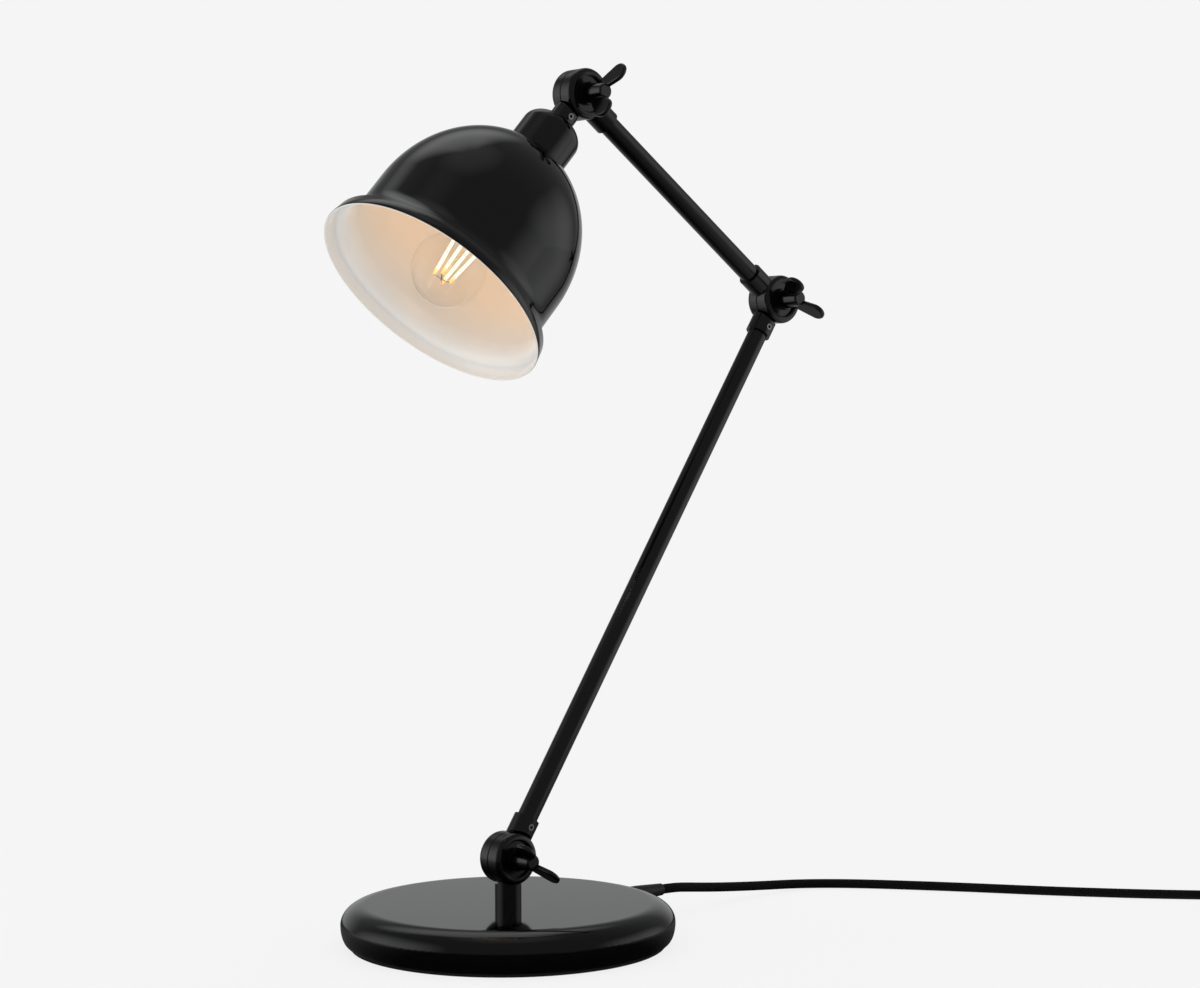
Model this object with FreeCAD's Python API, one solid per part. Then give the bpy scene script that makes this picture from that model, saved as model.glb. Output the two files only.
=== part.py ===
"""Articulated desk lamp: round weighted base, two tube arms, bell shade, three wing-nut knuckles.

Millimetres, +Z up. The origin is the centre of the underside of the base. The arms fold in the
XZ plane, the shade hangs on the -X side and the wing nuts face -Y.
"""
import FreeCAD, Part
import math
import os

V = FreeCAD.Vector
X_AXIS, Y_AXIS, Z_AXIS = V(1, 0, 0), V(0, 1, 0), V(0, 0, 1)
FRONT, REAR = -1, 1

# --- fits -------------------------------------------------------------------------------------
slide_gap = 0.05          # radial play of pieces that are pushed together
turn_gap = 0.08           # radial play of a turning fit
lie_gap = 0.3             # how close a loose lead lies to what carries it

# --- arms and their pose ----------------------------------------------------------------------
lower_arm_length = 404.0  # base pivot to elbow pivot
upper_arm_length = 202.0  # elbow pivot to head pivot
lower_arm_angle = 56.9    # above the horizontal, leaning to +X
upper_arm_angle = 36.4    # above the horizontal, rising to -X
shade_angle = 47.5        # below the horizontal, looking to -X
arm_tube_dia = 12.5
arm_tube_wall = 1.2
core_dia = 2.2            # one insulated conductor in the arms

# --- knuckle joints, all three alike ----------------------------------------------------------
knuckle_dia = 31.0
front_half_width = 8.5    # seam to the front face inside its raised ring
rear_half_width = 10.3    # seam to the rear face
seam_chamfer = 0.5        # on both halves' rims, a fine groove where they meet
rear_round = 4.5
front_round = 3.0         # outer edge of the raised ring
bead_round = 1.2          # its inner edge
stem_dia = 16.0
stem_reach = 26.5         # pivot to the end of the stem
stem_clear = 1.3          # radial gap between a stem and the other half's drum
stem_bite = 1.6           # how deep a stem is cast into its drum
pocket_dia = 24.4         # ring-shaped room for the lead round the bolt
pocket_depth = 5.0
hub_dia = 11.2            # boss round the bolt inside the pocket
lead_bore_dia = 8.6
socket_wall = 0.4         # what is left between the tube's end and the other drum's clearance
rim_bead_width = 4.6      # raised ring on the front face
rim_bead_height = 1.0
dish_depth = 2.0          # recess between the ring and the boss
boss_dia = 14.0
bolt_dia = 6.0
bolt_head_dia = 10.6
bolt_head_height = 3.2
bolt_square_depth = 2.6
friction_washer_thick = 0.6
nut_washer_thick = 1.2
set_screw_dia = 4.0
set_screw_hex = 2.0
set_screw_from_end = 5.2  # middle of the set screw to the end of the stem

# --- wing nut ---------------------------------------------------------------------------------
nut_height = 13.8
nut_foot_dia = 12.2
nut_top_dia = 9.4
nut_end_wall = 2.2
wing_reach = 18.5         # axis to the wing's tip
wing_rise = 10.7          # how far the tips stand out past the hub
wing_tip_radius = 6.3
wing_root_radius = 4.2
wing_thick = 3.0
wing_round = 1.2          # rounding of the wings' long edges
base_wing_turn = -42.0    # how far each nut happens to be turned, from +X towards +Z
elbow_wing_turn = -42.0
head_wing_turn = 62.0

# --- base -------------------------------------------------------------------------------------
base_dia = 200.0
base_height = 25.1
base_widest_height = 13.5
base_top_round = 14.5     # width of the rounded upper edge
base_foot_round = 5.0     # how far the side tucks in at the foot
cover_wall = 1.5
pad_thick = 2.0
pad_inset = 6.0
plate_thick = 1.5
plate_gap = 0.4
weight_inset = 13.0
weight_chamfer = 7.0
weight_hollow_dia = 62.0  # room under the weight for the nut and the terminals
weight_hollow_depth = 11.0
lead_slot_width = 12.0
post_height = 26.6        # top of the base to base pivot
nipple_dia = 10.0
nipple_bore = 7.4
lock_nut_flats = 17.0
lock_nut_height = 4.0
lock_washer_dia = 22.0
lock_washer_thick = 1.2
plate_screw_circle = 130.0
plate_screw_dia = 4.0
plate_screw_head_dia = 7.4
plate_screw_head_height = 2.2
plate_screw_length = 9.0
terminal_size = V(14.0, 17.0, 7.0)
terminal_offset = 20.0    # middle of the terminals from the base's axis

# --- mains cord -------------------------------------------------------------------------------
cord_dia = 6.0
cord_height = 18.0        # where it leaves the base
relief_length = 22.0
relief_tip_dia = 7.5
relief_root_dia = 9.4
coil_turn_dia = 72.0      # middle of the coil's lower layer
coil_rings = 4            # turns side by side in the lower layer, one fewer on top of it
coil_lead = 34.0          # straight run into the coil, up to where it starts to turn
coil_corner = 2.6
plug_lead = 60.0          # straight run from the coil to the plug
plug_length = 35.0
plug_width = 26.0
plug_nose_width = 34.0
plug_thick = 13.7
plug_round = 3.0
plug_relief_length = 24.0
pin_dia = 4.0
pin_sleeve_dia = 3.8
pin_length = 19.0
pin_bare = 9.0
pin_spacing = 18.6

# --- head, measured along its own axis from the head pivot --------------------------------------
neck_reach = 25.2
cup_dia = 38.0
cup_end = 59.0
cup_shoulder = 14.3
cup_shoulder_drop = 10.1
cup_wall = 1.2
shade_wall = 1.1
shade_widest = 126.0
shade_dia = 128.2
shade_dome_height = 73.0
shade_skirt_end = 147.0
shade_band_start = 160.0
shade_band_dia = 144.6
shade_rim_dia = 147.4
shade_rim_end = 168.0
shade_top_round = 7.0
holder_dia = 28.0
holder_cap_length = 20.0
holder_end = 118.0
holder_wall = 2.0
holder_top_dia = 20.0
holder_thread_grip = 9.0
core_length = 14.0
bulb_dia = 45.3
bulb_middle = 148.0
bulb_glass_wall = 0.8
bulb_neck_dia = 17.0
bulb_neck_end = 119.0
bulb_cap_dia = 13.8
bulb_cap_start = 98.5
bulb_contact_height = 2.4
screw_shell_wall = 0.5
filament_dia = 1.7
filament_count = 4
filament_tip = 155.0
filament_foot = 127.0
filament_tip_spread = 5.4
filament_foot_spread = 8.6
filament_wire_dia = 0.7
bulb_stem_dia = 5.0


# --- places that follow from the sizes above ----------------------------------------------------
def polar(angle, length):
    """A vector in the XZ plane, the angle counted from +X towards +Z."""
    a = math.radians(angle)
    return V(length * math.cos(a), 0, length * math.sin(a))


base_pivot = V(0, 0, base_height + post_height)
elbow_pivot = base_pivot + polar(lower_arm_angle, lower_arm_length)
head_pivot = elbow_pivot + polar(180 - upper_arm_angle, upper_arm_length)
shade_along = polar(180 + shade_angle, 1)

cover_under = base_height - cover_wall
plate_low = pad_thick
plate_top = plate_low + plate_thick
drum_clear = knuckle_dia / 2 + stem_clear
socket_start = drum_clear + socket_wall
front_face = front_half_width + rim_bead_height
nut_seat = front_face + nut_washer_thick
set_screw_length = (stem_dia - nipple_dia) / 2 - 2 * slide_gap
bolt_reach = nut_seat + nut_height - nut_end_wall - 0.6


# --- shape helpers ------------------------------------------------------------------------------
def placed(shape, origin, along):
    """Puts a shape drawn round its own +Z so that +Z points along a direction in the XZ plane."""
    turn = math.degrees(math.atan2(along.x, along.z))
    out = shape.copy()
    out.rotate(V(0, 0, 0), Y_AXIS, turn)
    out.translate(origin)
    return out


def facing(shape, side):
    """Turns a shape drawn round +Z so that +Z points to the front (-Y) or the rear (+Y)."""
    out = shape.copy()
    out.rotate(V(0, 0, 0), X_AXIS, -90 * side)
    return out


def outline(corners):
    """Closed wire in the XZ plane through (x, z) or (x, z, rounding) corners."""
    pts = [V(c[0], 0, c[1]) for c in corners]
    radii = [c[2] if len(c) > 2 else 0 for c in corners]
    starts, ends, arcs = [], [], []
    for i, p in enumerate(pts):
        a = (pts[i - 1] - p).normalize()
        b = (pts[(i + 1) % len(pts)] - p).normalize()
        if not radii[i]:
            starts.append(p)
            ends.append(p)
            arcs.append(None)
            continue
        half = a.getAngle(b) / 2
        cut = radii[i] / math.tan(half)
        middle = p + (a + b).normalize() * (radii[i] / math.sin(half) - radii[i])
        starts.append(p + a * cut)
        ends.append(p + b * cut)
        arcs.append(Part.Arc(starts[-1], middle, ends[-1]).toShape())
    edges = []
    for i in range(len(pts)):
        if arcs[i]:
            edges.append(arcs[i])
        nxt = starts[(i + 1) % len(pts)]
        if (nxt - ends[i]).Length > 1e-6:
            edges.append(Part.LineSegment(ends[i], nxt).toShape())
    return Part.Wire(edges)


def spun(wire):
    """Solid of revolution about Z of a closed wire in the XZ plane."""
    return Part.Face(wire).revolve(V(0, 0, 0), Z_AXIS, 360)


def ring(outer, inner, low, high):
    """Plain tube or washer about Z, given by diameters."""
    body = Part.makeCylinder(outer / 2, high - low, V(0, 0, low))
    if inner > 0:
        body = body.cut(Part.makeCylinder(inner / 2, high - low + 2, V(0, 0, low - 1)))
    return body


def quarter(centre, across, up, start, end):
    """Part of an upright ellipse in the XZ plane between two angles in degrees."""
    if across >= up:
        curve = Part.Ellipse(V(0, 0, 0), across, up)
        curve.rotate(FreeCAD.Placement(V(0, 0, 0), FreeCAD.Rotation(X_AXIS, 90)))
        lo, hi = math.radians(start), math.radians(end)
    else:
        curve = Part.Ellipse(V(0, 0, 0), up, across)
        curve.rotate(FreeCAD.Placement(V(0, 0, 0), FreeCAD.Rotation(X_AXIS, 90)))
        curve.rotate(FreeCAD.Placement(V(0, 0, 0), FreeCAD.Rotation(Y_AXIS, -90)))
        lo, hi = math.radians(start - 90), math.radians(end - 90)
    curve.translate(V(centre[0], 0, centre[1]))
    return Part.ArcOfEllipse(curve, lo, hi).toShape()


def tube_along(points, dia, end_share=0.45):
    """Round solid along straight runs joined by tangent arcs, each as wide as its runs allow."""
    edges, radii, here = [], [], points[0]
    for before, corner, after in zip(points, points[1:], points[2:]):
        a, b = before - corner, after - corner
        turn = math.pi - a.getAngle(b)
        cut = end_share * min(a.Length, b.Length)
        radius = cut / math.tan(turn / 2)
        a.normalize()
        b.normalize()
        start, end = corner + a * cut, corner + b * cut
        middle = corner + (a + b).normalize() * (radius / math.cos(turn / 2) - radius)
        edges += [Part.LineSegment(here, start).toShape(), Part.Arc(start, middle, end).toShape()]
        radii.append(radius)
        here = end
    edges.append(Part.LineSegment(here, points[-1]).toShape())
    path = Part.Wire(edges)
    loop = Part.Wire(Part.Circle(points[0], points[1] - points[0], dia / 2).toShape())
    solid = path.makePipeShell([loop], True, False)
    share = solid.Volume / (math.pi * dia ** 2 / 4 * path.Length)
    print("tube %.0f mm long, volume over section times length %.4f, radii" % (path.Length, share),
          " ".join("%.0f" % r for r in radii))
    return solid


def leaf(low, low_radius, high, high_radius, thick, rounding):
    """Rounded wing in the XZ plane: two circles and their outer tangents, thickened along Y."""
    apart = high - low
    lean = math.acos((low_radius - high_radius) / apart.Length)
    heading = math.atan2(apart.z, apart.x)
    rims = []
    for sign in (1, -1):
        a = heading + sign * lean
        out = V(math.cos(a), 0, math.sin(a))
        rims.append((low + out * low_radius, high + out * high_radius))
    along = apart.normalize()
    edges = [
        Part.LineSegment(rims[0][0], rims[0][1]).toShape(),
        Part.Arc(rims[0][1], high + along * high_radius, rims[1][1]).toShape(),
        Part.LineSegment(rims[1][1], rims[1][0]).toShape(),
        Part.Arc(rims[1][0], low - along * low_radius, rims[0][0]).toShape(),
    ]
    flat = Part.Face(Part.Wire(edges))
    flat.translate(V(0, -thick / 2, 0))
    wing = flat.extrude(V(0, thick, 0))
    return wing.makeFillet(rounding, [e for e in wing.Edges if abs(e.CenterOfMass.y) > thick * 0.4])


# --- knuckles -----------------------------------------------------------------------------------
def drum(side):
    """Turned half of a knuckle, drawn round +Z with the seam at z = 0."""
    r = knuckle_dia / 2
    mating = [
        (hub_dia / 2, friction_washer_thick / 2),
        (hub_dia / 2, pocket_depth),
        (pocket_dia / 2, pocket_depth),
        (pocket_dia / 2, 0),
        (r - seam_chamfer, 0),
        (r, seam_chamfer),
    ]
    if side == FRONT:
        bore = bolt_dia / 2 + turn_gap
        dish = front_face - dish_depth
        outer = [
            (r, front_face, front_round),
            (r - rim_bead_width, front_face, bead_round),
            (r - rim_bead_width, dish),
            (boss_dia / 2, dish),
            (boss_dia / 2, front_face),
            (bore, front_face),
            (bore, friction_washer_thick / 2),
        ]
        return spun(outline(mating + outer))
    seat = rear_half_width - bolt_head_height - slide_gap
    hole = bolt_head_dia / 2 + slide_gap
    outer = [
        (r, rear_half_width, rear_round),
        (hole, rear_half_width),
        (hole, seat),
        (0, seat),
        (0, friction_washer_thick / 2),
    ]
    square = bolt_dia + 2 * slide_gap
    key = Part.makeBox(square, square, seat + 1, V(-square / 2, -square / 2, -0.5))
    return spun(outline(mating + outer)).cut(key)


def knuckle_half(side, reach, bore_dia):
    """Half drum with its stem along +Z. The pivot axis is Y, the bore takes a tube or nipple."""
    stem = Part.makeCylinder(stem_dia / 2, reach)
    across = 2 * stem_dia
    inside = Part.makeCylinder(knuckle_dia / 2 - stem_bite, across, V(0, -across / 2, 0), Y_AXIS)
    other = Part.makeCylinder(drum_clear, across, V(0, 0, 0), Y_AXIS * -side)
    stem = stem.cut(inside).cut(other)
    body = facing(drum(side), side).fuse(stem).removeSplitter()
    lead_bore = Part.makeCylinder(lead_bore_dia / 2, reach, V(0, 0, pocket_dia / 2 - stem_bite))
    socket = Part.makeCylinder(bore_dia / 2 + slide_gap, reach, V(0, 0, socket_start))
    screw_hole = Part.makeCylinder(
        set_screw_dia / 2 + slide_gap,
        stem_dia,
        V(0, 0, reach - set_screw_from_end),
        Y_AXIS * -side,
    )
    return body.cut(lead_bore).cut(socket).cut(screw_hole)


def set_screw(side, reach):
    """Headless screw with a hexagon socket, in the stem wall opposite the drum."""
    screw = Part.makeCylinder(set_screw_dia / 2, set_screw_length)
    key = hexagon(set_screw_hex, set_screw_length / 2)
    key.translate(V(0, 0, set_screw_length / 2))
    screw = screw.cut(key)
    screw.translate(V(0, 0, stem_dia / 2 - set_screw_length))
    screw = facing(screw, -side)
    screw.translate(V(0, 0, reach - set_screw_from_end))
    return screw


def hexagon(flats, height):
    """Upright hexagonal prism about Z."""
    corner = flats / 2 / math.cos(math.pi / 6)
    pts = [V(corner * math.cos(k * math.pi / 3), corner * math.sin(k * math.pi / 3), 0)
           for k in range(6)]
    return Part.Face(Part.makePolygon(pts + pts[:1])).extrude(V(0, 0, height))


def pivot_bolt():
    """Coach bolt through a knuckle: round head in the rear half, square neck, shank to the nut."""
    head_low = -rear_half_width + slide_gap
    neck_low = head_low + bolt_head_height
    head = Part.makeCylinder(bolt_head_dia / 2, bolt_head_height, V(0, 0, head_low))
    neck = Part.makeBox(bolt_dia, bolt_dia, bolt_square_depth,
                        V(-bolt_dia / 2, -bolt_dia / 2, neck_low))
    shank = Part.makeCylinder(bolt_dia / 2, bolt_reach - neck_low, V(0, 0, neck_low))
    return facing(head.fuse(neck).fuse(shank).removeSplitter(), FRONT)


def wing_nut(turn):
    """Wing nut on the front end of a pivot bolt, its wings turned from +X towards +Z."""
    top = nut_seat + nut_height
    hub = spun(outline([
        (0, nut_seat),
        (nut_foot_dia / 2, nut_seat, 0.8),
        (nut_top_dia / 2, top, 1.2),
        (0, top),
    ]))
    low = V(wing_root_radius, 0, nut_seat + nut_height / 2)
    high = V(wing_reach - wing_tip_radius, 0, top + wing_rise - wing_tip_radius)
    wing = leaf(low, wing_root_radius, high, wing_tip_radius, wing_thick, wing_round)
    second = wing.copy()
    second.rotate(V(0, 0, 0), Z_AXIS, 180)
    above = Part.makeCylinder(nut_top_dia / 2 - 0.8, 2 * wing_rise, V(0, 0, top))
    nut = hub.fuse(wing.fuse(second).cut(above)).removeSplitter()
    bore = Part.makeCylinder(bolt_dia / 2 + turn_gap, top - nut_end_wall)
    nut = nut.cut(bore)
    nut.rotate(V(0, 0, 0), Z_AXIS, turn)
    return facing(nut, FRONT)


def friction_washer():
    """Thin fibre washer between the hubs of the two halves."""
    half = friction_washer_thick / 2
    return facing(ring(hub_dia, bolt_dia + 2 * turn_gap, -half, half), FRONT)


def nut_washer():
    """Steel washer under a wing nut."""
    return facing(ring(boss_dia, bolt_dia + 2 * turn_gap, front_face, nut_seat), FRONT)


# --- arms ---------------------------------------------------------------------------------------
def arm_tube(length, screw_side):
    """Painted steel tube between the stems of an arm, drilled for the two set screws."""
    low, high = socket_start + slide_gap, length - socket_start - slide_gap
    tube = ring(arm_tube_dia, arm_tube_dia - 2 * arm_tube_wall, low, high)
    for z in (stem_reach - set_screw_from_end, length - stem_reach + set_screw_from_end):
        hole = set_screw_dia / 2 + slide_gap
        tube = tube.cut(Part.makeCylinder(hole, arm_tube_dia, V(0, 0, z), Y_AXIS * screw_side))
    return tube


def cores(bore, low, high):
    """Two insulated conductors lying side by side against the wall of a bore."""
    off = bore / 2 - core_dia / 2 - lie_gap
    half = math.asin((core_dia + lie_gap) / 2 / off)
    wires = [
        Part.makeCylinder(core_dia / 2, high - low,
                          V(-off * math.cos(half), sign * off * math.sin(half), low))
        for sign in (1, -1)
    ]
    return Part.makeCompound(wires)


def arm(name, start, end, length, side):
    """Tube, the two knuckle halves on its ends, their set screws and the leads inside."""
    along = (end - start).normalize()
    screws = [placed(set_screw(side, stem_reach), start, along),
              placed(set_screw(side, stem_reach), end, along * -1)]
    lead_low = socket_start + 1
    return {
        name + "_tube": placed(arm_tube(length, -side), start, along),
        name + "_lower_knuckle": placed(knuckle_half(side, stem_reach, arm_tube_dia), start, along),
        name + "_upper_knuckle": placed(knuckle_half(side, stem_reach, arm_tube_dia), end, along * -1),
        name + "_set_screws": Part.makeCompound(screws),
        name + "_leads": placed(cores(arm_tube_dia - 2 * arm_tube_wall, lead_low, length - lead_low),
                                start, along),
    }


# --- base ---------------------------------------------------------------------------------------
def base_cover():
    """Spun steel cover: flat top, rounded shoulder, side tucked in to a narrow turned-in lip."""
    r, w = base_dia / 2, cover_wall
    shoulder = (r - base_top_round, base_widest_height)
    foot = (r - base_foot_round, base_widest_height)
    rise, drop = base_height - base_widest_height, base_widest_height - pad_thick
    hole = nipple_dia / 2 + lie_gap
    lip = r - base_foot_round - w
    edges = [
        quarter(shoulder, base_top_round, rise, 0, 90),
        Part.makeLine(V(shoulder[0], 0, base_height), V(hole, 0, base_height)),
        Part.makeLine(V(hole, 0, base_height), V(hole, 0, cover_under)),
        Part.makeLine(V(hole, 0, cover_under), V(shoulder[0], 0, cover_under)),
        quarter(shoulder, base_top_round - w, rise - w, 0, 90),
        quarter(foot, base_foot_round - w, drop - w, -90, 0),
        Part.makeLine(V(foot[0], 0, pad_thick + w), V(lip, 0, pad_thick + w)),
        Part.makeLine(V(lip, 0, pad_thick + w), V(lip, 0, pad_thick)),
        Part.makeLine(V(lip, 0, pad_thick), V(foot[0], 0, pad_thick)),
        quarter(foot, base_foot_round, drop, -90, 0),
    ]
    cover = spun(Part.Wire(Part.__sortEdges__(edges)))
    return cover.cut(relief_hole())


def relief_hole():
    """What the strain relief takes out of the cover."""
    return Part.makeCylinder(relief_root_dia / 2 + slide_gap, base_dia / 2,
                             V(base_dia / 4, 0, cord_height), X_AXIS)


def base_weight():
    """Cast-iron disc with a hollow for the nut and terminals and a slot for the lead."""
    r = base_dia / 2 - weight_inset
    disc = spun(outline([
        (0, plate_top), (r, plate_top), (r, cover_under - weight_chamfer),
        (r - weight_chamfer, cover_under), (0, cover_under),
    ]))
    hollow = Part.makeCylinder(weight_hollow_dia / 2, weight_hollow_depth, V(0, 0, plate_top))
    slot = Part.makeBox(r, lead_slot_width, base_height, V(weight_hollow_dia / 2 - 2,
                                                           -lead_slot_width / 2, plate_top))
    bore = Part.makeCylinder(nipple_dia / 2 + lie_gap, base_height)
    disc = disc.cut(hollow).cut(slot).cut(bore)
    for x, y in screw_places():
        disc = disc.cut(Part.makeCylinder(plate_screw_dia / 2 + slide_gap, plate_screw_length,
                                          V(x, y, plate_low)))
    return disc


def screw_places():
    """Where the three plate screws stand, clear of the lead's slot."""
    turns = [math.radians(60 + 120 * k) for k in range(3)]
    return [(plate_screw_circle / 2 * math.cos(t), plate_screw_circle / 2 * math.sin(t))
            for t in turns]


def screw_head(extra):
    """Countersunk head that fills the plate's thickness."""
    return Part.makeCone(plate_screw_head_dia / 2 + extra, plate_screw_dia / 2 + extra, plate_thick,
                         V(0, 0, plate_low))


def base_plate():
    """Steel plate that closes the cover from below."""
    r = base_dia / 2 - base_foot_round - cover_wall - plate_gap
    plate = Part.makeCylinder(r, plate_thick, V(0, 0, plate_low))
    for x, y in screw_places():
        hole = screw_head(slide_gap)
        hole.translate(V(x, y, 0))
        plate = plate.cut(hole)
    return plate


def plate_screws():
    """Three countersunk screws from below, through the plate into the weight."""
    screws = []
    for x, y in screw_places():
        length = plate_screw_length - plate_thick - 0.5
        shank = Part.makeCylinder(plate_screw_dia / 2, length, V(0, 0, plate_top))
        screw = screw_head(0).fuse(shank).removeSplitter()
        screw.translate(V(x, y, 0))
        screws.append(screw)
    return Part.makeCompound(screws)


def base():
    """Everything that stays on the table, apart from the cord."""
    ceiling = plate_top + weight_hollow_depth
    washer_low = ceiling - lock_washer_thick
    nut_low = washer_low - lock_nut_height
    nut = hexagon(lock_nut_flats, lock_nut_height)
    nut.translate(V(0, 0, nut_low))
    nipple_top = base_pivot.z - socket_start - slide_gap
    post = placed(knuckle_half(FRONT, post_height, nipple_dia), base_pivot, Z_AXIS * -1)
    screw = placed(set_screw(FRONT, post_height), base_pivot, Z_AXIS * -1)
    return {
        "base_cover": base_cover(),
        "base_weight": base_weight(),
        "base_plate": base_plate(),
        "base_pad": Part.makeCylinder(base_dia / 2 - pad_inset, pad_thick),
        "base_plate_screws": plate_screws(),
        "base_post": post,
        "base_post_set_screw": screw,
        "base_nipple": ring(nipple_dia, nipple_bore, nut_low - 1, nipple_top),
        "base_lock_nut": nut.cut(Part.makeCylinder(nipple_dia / 2 + slide_gap, base_height)),
        "base_lock_washer": ring(lock_washer_dia, nipple_dia + 2 * slide_gap, washer_low, ceiling),
        "base_terminals": terminals(),
        "base_lead": base_lead(),
        "cord_strain_relief": strain_relief(),
    }


def terminals():
    """Two-way terminal block on the plate, with its wire and screw holes."""
    size = terminal_size
    block = Part.makeBox(size.x, size.y, size.z,
                         V(terminal_offset - size.x / 2, -size.y / 2, plate_top))
    for y in (-size.y / 4, size.y / 4):
        for x in (-size.x / 4, size.x / 4):
            at = V(terminal_offset + x, y, plate_top + size.z / 2)
            block = block.cut(Part.makeCylinder(1.5, size.z, at))
    return block


def base_lead():
    """End of the mains cord inside the base, from the strain relief down to the terminals."""
    start = V(base_dia / 2 - weight_inset, 0, cord_height)
    end = V(terminal_offset + terminal_size.x / 2, 0, plate_top + terminal_size.z / 2)
    run = start.x - end.x
    middle = [V(start.x - run * share, 0, start.z + (end.z - start.z) * drop)
              for share, drop in ((0.3, 0), (0.68, 1))]
    return tube_along([start] + middle + [end], cord_dia)


def strain_relief():
    """Moulded bush through the cover with a plain sleeve that thins towards the cord."""
    low, high = base_dia / 2 - weight_inset, base_dia / 2 + relief_length
    root, tip = relief_root_dia / 2, relief_tip_dia / 2
    sleeve_start = base_dia / 2 + 1.5
    bush = spun(outline([
        (0, low), (root, low), (root, sleeve_start), (tip, high, 0.6), (0, high),
    ]))
    bush.rotate(V(0, 0, 0), Y_AXIS, 90)
    bush.translate(V(0, 0, cord_height))
    return bush


# --- mains cord and plug --------------------------------------------------------------------------
cord_route = [
    V(base_dia / 2 + relief_length, 0, cord_height),
    V(133, 0, cord_height),
    V(151, 5.0, 15.2),
    V(172, 9.5, 12.0),
    V(197, 13.3, 8.8),
    V(225, 15.6, 5.9),
    V(252, 14.0, 4.0),
    V(273, 4.5, 3.1),
    V(290, -12.5, 3.1),
    V(307, -33.5, 3.1),
    V(324, -55.6, 3.1),
    V(341.5, -80.0, 3.1),
    V(357, -102.5, 3.1),
    V(377, -129.0, 3.1),
    V(400, -157.0, 3.1),
    V(424, -183.0, 3.1),
    V(440, -199.0, 3.1),
]


def cord_coil_and_plug():
    """The rest of the cord as one coil, and the plug on its end, beside the lamp."""
    entry = cord_route[-1]
    ahead = (entry - cord_route[-2]).normalize()
    right = V(ahead.y, -ahead.x, 0)
    radius = coil_turn_dia / 2
    outer = radius + (coil_rings - 1) / 2 * cord_dia
    touch = entry + ahead * coil_lead
    middle = touch + right * outer
    middle.z = 0
    wide = coil_rings * cord_dia / 2
    layer = cord_dia + 0.2
    coil = spun(outline([
        (radius - wide, 0, coil_corner), (radius + wide, 0, coil_corner),
        (radius + wide, layer, coil_corner), (radius + wide - cord_dia, layer),
        (radius + wide - cord_dia, 2 * layer, coil_corner),
        (radius - wide, 2 * layer, coil_corner),
    ]))
    coil.translate(middle)
    leave = middle + ahead * (outer - cord_dia) + V(0, 0, plug_thick / 2)
    plug_at = leave + right * plug_lead
    stubs = [Part.makeCylinder(cord_dia / 2, coil_lead, entry, ahead),
             Part.makeCylinder(cord_dia / 2, plug_lead, leave, right)]
    coil = coil.fuse(stubs).removeSplitter()
    turn = math.degrees(math.atan2(right.y, right.x))
    pieces = {"cord_coil": coil, "plug_body": plug_body(), "plug_pins": plug_pins()}
    for name in ("plug_body", "plug_pins"):
        pieces[name].rotate(V(0, 0, 0), Z_AXIS, turn)
        pieces[name].translate(plug_at)
    return pieces


def plug_body():
    """Flat two-pin plug along +X, its tapered tail starting at the origin."""
    tail, nose = plug_relief_length, plug_relief_length + plug_length
    grip, face = plug_width / 2, plug_nose_width / 2
    shoulder = tail + plug_length * 0.62
    pts = [V(tail, -grip * 0.7, 0), V(shoulder, -grip, 0), V(nose, -face, 0),
           V(nose, face, 0), V(shoulder, grip, 0), V(tail, grip * 0.7, 0)]
    flat = Part.Face(Part.makePolygon(pts + pts[:1]))
    flat.translate(V(0, 0, -plug_thick / 2))
    body = flat.extrude(V(0, 0, plug_thick))
    upright = [e for e in body.Edges if abs(e.tangentAt(e.FirstParameter).z) > 0.9]
    body = body.makeFillet(plug_round, upright)
    level = [e for e in body.Edges if abs(abs(e.CenterOfMass.z) - plug_thick / 2) < 1e-6]
    body = body.makeFillet(plug_round * 0.6, level)
    sleeve = Part.makeCone(relief_tip_dia / 2, relief_root_dia / 2, tail + 2, V(0, 0, 0), X_AXIS)
    return body.fuse(sleeve).removeSplitter()


def plug_pins():
    """Two round pins, sleeved next to the plug's face."""
    nose = plug_relief_length + plug_length
    pins = []
    for side in (FRONT, REAR):
        at = V(nose, side * pin_spacing / 2, 0)
        sleeve = Part.makeCylinder(pin_sleeve_dia / 2, pin_length - pin_bare, at, X_AXIS)
        bare = Part.makeCylinder(pin_dia / 2, pin_bare, at + X_AXIS * (pin_length - pin_bare), X_AXIS)
        tip = [e for e in bare.Edges if abs(e.CenterOfMass.x - nose - pin_length) < 1e-6]
        pins.append(sleeve.fuse(bare.makeFillet(pin_dia * 0.3, tip)).removeSplitter())
    return Part.makeCompound(pins)


# --- head ---------------------------------------------------------------------------------------
def cup():
    """Spun canopy between the neck and the shade, open at its lower end."""
    r, w = cup_dia / 2, cup_wall
    low, wide_at = neck_reach, neck_reach + cup_shoulder_drop
    centre = (r - cup_shoulder, wide_at)
    hole = nipple_dia / 2 + slide_gap
    edges = [
        quarter(centre, cup_shoulder, cup_shoulder_drop, -90, 0),
        Part.makeLine(V(r, 0, wide_at), V(r, 0, cup_end)),
        Part.makeLine(V(r, 0, cup_end), V(r - w, 0, cup_end)),
        Part.makeLine(V(r - w, 0, cup_end), V(r - w, 0, wide_at)),
        quarter(centre, cup_shoulder - w, cup_shoulder_drop - w, -90, 0),
        Part.makeLine(V(centre[0], 0, low + w), V(0, 0, low + w)),
        Part.makeLine(V(0, 0, low + w), V(0, 0, low)),
        Part.makeLine(V(0, 0, low), V(centre[0], 0, low)),
    ]
    shell = spun(Part.Wire(Part.__sortEdges__(edges)))
    return shell.cut(Part.makeCylinder(hole, cup_end))


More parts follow.
